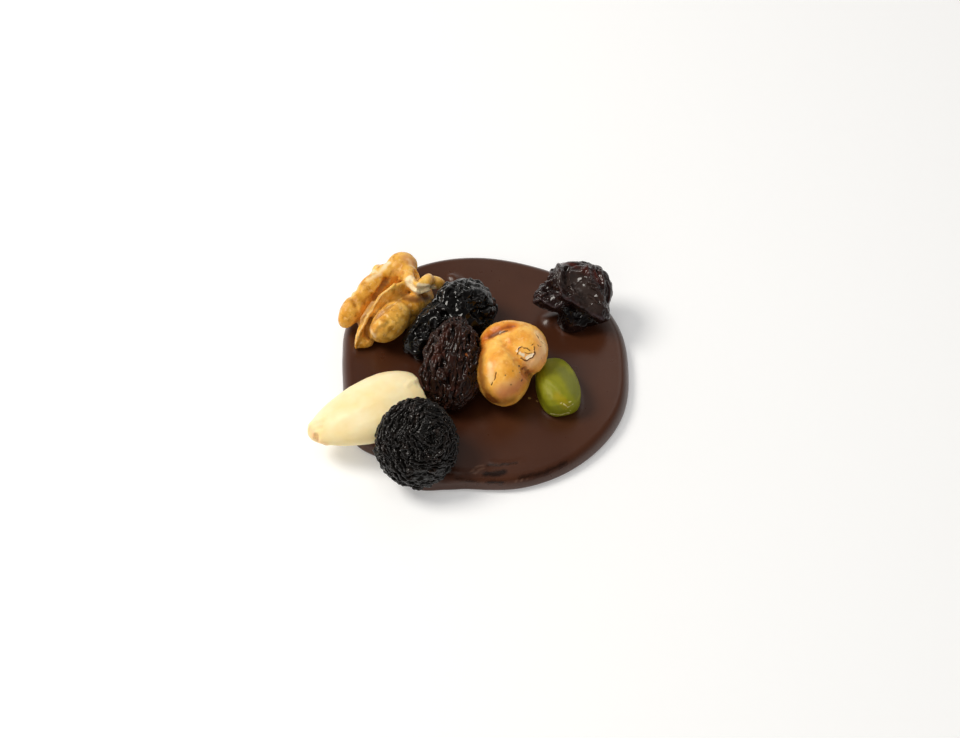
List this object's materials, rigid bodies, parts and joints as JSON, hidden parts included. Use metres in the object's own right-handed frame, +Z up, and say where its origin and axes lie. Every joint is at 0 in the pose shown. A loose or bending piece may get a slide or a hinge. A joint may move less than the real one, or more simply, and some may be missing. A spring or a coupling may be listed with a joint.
{
  "type": "chocolate mendiant",
  "caption": "Round of dark chocolate topped with roasted and blanched nuts, raisins and a dried cherry.",
  "frame": {"origin": "on the flat underside, at the middle of the chocolate round", "axes": "+Z up through the toppings, -Y towards the plain front of the round, +X towards the pistachio's side"},
  "size_m": [0.0554, 0.0524, 0.0135],
  "materials": {
    "chocolate": "satin dark chocolate with a soft poured edge",
    "almond": "smooth ivory, skin removed",
    "pistachio": "moist olive green, skin removed",
    "hazelnut": "roasted golden with darker patches and a flake of skin",
    "walnut": "golden brown papery skin with pale broken faces",
    "raisin_black": "glossy black with coarse folds",
    "raisin_brown": "dark reddish brown with fine lengthwise wrinkles",
    "raisin_round": "black with fine ring wrinkles around the stem scar",
    "cherry": "wet-looking dark red-brown, crumpled"
  },
  "bodies": {
    "root": {"chocolate_disc": "chocolate", "almond": "almond", "pistachio": "pistachio", "hazelnut": "hazelnut", "walnut": "walnut", "raisin_black": "raisin_black", "raisin_brown": "raisin_brown", "raisin_round": "raisin_round", "dried_cherry": "cherry"}
  },
  "joints": []
}
